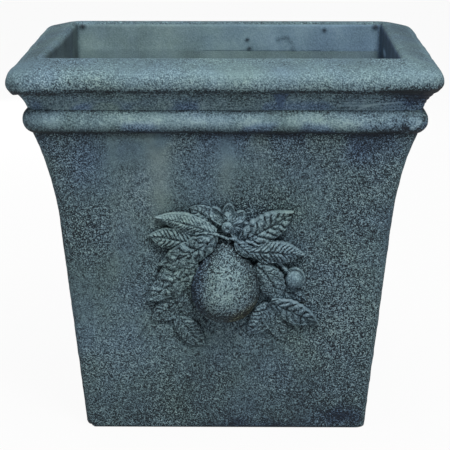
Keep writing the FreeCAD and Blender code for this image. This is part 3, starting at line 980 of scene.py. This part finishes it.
def petal_breadth(share):
    """A petal is narrow at its foot and round at its end."""
    if share < petal_broadest:
        return 0.30 + 0.70 * ease(share, 0.0, petal_broadest)
    return math.sqrt(max(0, 1 - ((share - petal_broadest) / petal_end) ** 2))


for number, (tip, share, curl) in enumerate(petal_shares, start=1):
    petal = press_sprig(
        "petal_" + str(number), heart_place, tip, bow=0.002, width=petal_width * share,
        rises=petal_rises, roof=0.0, pitch=0.004, veins=0.0, wave=1.0, pale=0.12,
        breadth_at=petal_breadth, curl=curl,
    )
    seat(petal, leaf_clay, "blossom_petal_" + str(number))

bm = bmesh.new()
bmesh.ops.create_icosphere(bm, subdivisions=5, radius=1)
wash_and_light = bm.verts.layers.float.new("wash_and_light")
for vert in bm.verts:
    ball = vert.co.normalized()
    from_middle = math.hypot(ball.x, ball.y)
    dimple = dimple_depth * bell(from_middle, dimple_reach) if ball.z > 0 else 0
    lift = heart_rise + (ball.z - dimple) * heart_radius
    if ball.z < 0:
        lift = heart_rise + ball.z * (heart_rise + leaf_sink)
    across = heart_place[0] * relief_span + ball.x * heart_radius
    up = heart_place[1] * relief_span + ball.y * heart_radius
    # Painted shade in the dimple, and painted light on the button's front.
    vert[wash_and_light] = 0.06 * ball.z - 0.5 * dimple
    vert.co = on_wall(across, up, lift + heart_wave * noise.noise(ball * 3))
# Painted light on what faces up and painted shade on what faces down.
paint_light_from_above(bm, wash_and_light, 0.4)
seat(finish_piece(bm, "blossom_button", sharp=180), leaf_clay, "blossom_heart")

# The twig and the bud's stem are thin rolls of clay, left thicker at their joints. The twig
# lies over the inner ends of the leaves, and the stem runs down to the bud.
twig_radius = 0.0013
twig_lift = 0.0118
twig_sides = 16
twig_rings = 12
twig_weld = 1e-7
knot_share = 0.26
twig_routes = (
    ((-0.17, 0.346), (-0.11, 0.352), (-0.055, 0.345), (-0.01, 0.33), (0.02, 0.316)),
    ((0.0, 0.324), (0.045, 0.318), (0.085, 0.300), (0.125, 0.288)),
)
stem_radius = 0.0017
stem_lift = 0.0055
stem_route = ((0.27, 0.2), (0.31, 0.165), (0.345, 0.125), (0.372, 0.09))


def lay_rolls(name, routes, radius, lift, node):
    """Thin rolls of clay along routes of shares of the span, swollen at their joints."""
    bm = bmesh.new()
    wash_and_light = bm.verts.layers.float.new("wash_and_light")
    for route in routes:
        rings = len(route) * twig_rings
        made = bmesh.ops.create_grid(bm, x_segments=twig_sides, y_segments=rings, size=1)["verts"]
        for vert in made:
            turn = (vert.co.x + 1) * math.pi
            along = (vert.co.y + 1) / 2 * (len(route) - 1)
            index = min(int(along), len(route) - 2)
            start, end = Vector(route[index]), Vector(route[index + 1])
            centre = (start + (end - start) * (along - index)) * relief_span
            normal = Vector((-(end - start).y, (end - start).x)).normalized()
            knot = 1 + knot_share * math.cos(2 * math.pi * along)
            knot += 0.2 * noise.noise(Vector((along * 2.3, 0, 0)))
            spot = centre + normal * math.cos(turn) * radius * knot
            vert.co = on_wall(spot.x, spot.y, lift + math.sin(turn) * radius * knot)
            # Painted light on the roll's front and shade on its back; it is paler at the joints.
            vert[wash_and_light] = 0.2 * math.sin(turn) + 0.1 * math.cos(2 * math.pi * along)
        bmesh.ops.remove_doubles(bm, verts=made, dist=twig_weld)
    bmesh.ops.holes_fill(bm, edges=[e for e in bm.edges if e.is_boundary], sides=0)
    # Painted light on what faces up and painted shade on what faces down.
    paint_light_from_above(bm, wash_and_light, 0.2)
    seat(finish_piece(bm, name), leaf_clay, node)


lay_rolls("twig_roll", twig_routes, twig_radius, twig_lift, "twig")
lay_rolls("bud_stem_roll", (stem_route,), stem_radius, stem_lift, "bud_stem")

# The bud is a ball of clay with faint stripes, set in a low dished cup. Both are pressed on
# the wall below the right leaf.
bud_place = (0.394, 0.06)
bud_radius = 0.0086
bud_lift = 0.0045
cup_radius = 0.0118
cup_rise = 0.0046
cup_hollow = 0.0012
stripe_depth = 0.00012
stripe_turns = 26
ball_wobble = 0.04


def press_ball(name, radius, lift, rise, hollow, material, node):
    """A ball of clay pressed on the wall at the bud's place, or a dish with a raised edge."""
    bm = bmesh.new()
    bmesh.ops.create_icosphere(bm, subdivisions=6, radius=1)
    wash_and_light = bm.verts.layers.float.new("wash_and_light")
    for vert in bm.verts:
        ball = vert.co.normalized()
        from_middle = math.hypot(ball.x, ball.y)
        swell = 1 + ball_wobble * noise.noise(ball * 1.7)
        height = lift + ball.z * rise * swell
        if ball.z > 0:
            height -= hollow * (1 - ease(from_middle, 0.72, 0.92))
        stripes = math.sin(ball.x * stripe_turns + 1.5 * noise.noise(ball * 2))
        stripes *= 1 - ease(from_middle, 0.5, 0.9)
        across = bud_place[0] * relief_span + ball.x * radius * swell
        up = bud_place[1] * relief_span + ball.y * radius * swell
        vert.co = on_wall(across, up, height if hollow else height + stripe_depth * stripes)
        # Painted light on the front; the dish's raised edge and the ball's stripes are paler.
        pale = 0.2 * bell(from_middle - 0.9, 0.08) if hollow else 0.10 * stripes
        vert[wash_and_light] = 0.16 * ball.z + pale
    # Painted light on what faces up and painted shade on what faces down.
    paint_light_from_above(bm, wash_and_light, 0.2)
    seat(finish_piece(bm, name, sharp=180), material, node)


bud_clay = washed_clay("bud_clay", wash=0.48, speckle=0.7, hollow_reach=0.005, bump=0.2)
press_ball("bud_ball", bud_radius, bud_lift, bud_radius * 0.95, 0, bud_clay, "bud")
press_ball("bud_dish", cup_radius, 0, cup_rise, cup_hollow, leaf_clay, "bud_cup")

# The pot stands on a plain pale floor. Seen by the camera or in a sheen, the floor is nearly
# white, and it keeps a faint shadow.
floor_reach = 12.0
floor_pale = (0.50, 0.50, 0.50, 1)
floor_glow_share = 0.95
bm = bmesh.new()
bmesh.ops.create_grid(bm, x_segments=1, y_segments=1, size=floor_reach)
ground = finish_piece(bm, "ground")
paper = bpy.data.materials.new("paper")
paper.use_nodes = True
tree = paper.node_tree
tree.nodes.clear()
matt = tree.nodes.new("ShaderNodeBsdfDiffuse")
matt.inputs["Color"].default_value = floor_pale
glow = tree.nodes.new("ShaderNodeEmission")
rays = tree.nodes.new("ShaderNodeLightPath")
seen = rays.outputs["Is Camera Ray"]
for kind in ("Is Glossy Ray", "Is Transmission Ray"):
    either = tree.nodes.new("ShaderNodeMath")
    either.operation = "MAXIMUM"
    tree.links.new(seen, either.inputs[0])
    tree.links.new(rays.outputs[kind], either.inputs[1])
    seen = either.outputs[0]
shown = tree.nodes.new("ShaderNodeMath")
shown.operation = "MULTIPLY"
shown.inputs[1].default_value = floor_glow_share
tree.links.new(seen, shown.inputs[0])
both = tree.nodes.new("ShaderNodeMixShader")
tree.links.new(shown.outputs[0], both.inputs["Fac"])
tree.links.new(matt.outputs["BSDF"], both.inputs[1])
tree.links.new(glow.outputs["Emission"], both.inputs[2])
last = tree.nodes.new("ShaderNodeOutputMaterial")
tree.links.new(both.outputs["Shader"], last.inputs["Surface"])
ground.data.materials.append(paper)

# A large soft lamp hangs overhead and a smaller one stands high in front, a little to the
# right. A weak one lights the back and leaves no sheen, and the room adds a little light from
# all sides.
lamp_aim = Vector((0, 0, 0.2))
room_light = (0.93, 0.96, 1.0, 1)
room_strength = 0.16


def soft_lamp(name, place, size, power, sheen=True):
    """A soft lamp that faces the pot, and that may leave no sheen on it."""
    lamp = bpy.data.lights.new(name, "AREA")
    lamp.shape = "SQUARE"
    lamp.size = size
    lamp.energy = power
    made = bpy.data.objects.new(name, lamp)
    made.location = place
    made.visible_glossy = sheen
    made.rotation_euler = (lamp_aim - Vector(place)).to_track_quat("-Z", "Y").to_euler()
    bpy.context.scene.collection.objects.link(made)


soft_lamp("lamp_above", (0.05, -0.40, 2.35), 2.0, 34)
soft_lamp("lamp_front", (0.45, -1.70, 2.20), 0.7, 46)
soft_lamp("lamp_behind", (-0.60, 2.15, 0.60), 0.9, 26, sheen=False)

world = bpy.data.worlds.new("room")
bpy.context.scene.world = world
world.use_nodes = True
room = world.node_tree.nodes["Background"]
room.inputs["Color"].default_value = room_light
room.inputs["Strength"].default_value = room_strength

# The camera stands a little over two metres away with a long lens. It looks down a little on
# the front, so that the far side shows in the mouth, as in the photograph.
camera_place = (0.024, -2.2070, 0.6230)
camera_pitch = math.radians(11.318)
camera_turn = math.radians(0.682)
camera_lens = 169.57
camera_data = bpy.data.cameras.new("camera")
camera_data.lens = camera_lens
camera_data.sensor_width = 36
camera = bpy.data.objects.new("camera", camera_data)
camera.location = camera_place
camera.rotation_euler = (math.pi / 2 - camera_pitch, 0, camera_turn)
bpy.context.scene.collection.objects.link(camera)
bpy.context.scene.camera = camera
bpy.context.scene.view_settings.view_transform = "Standard"
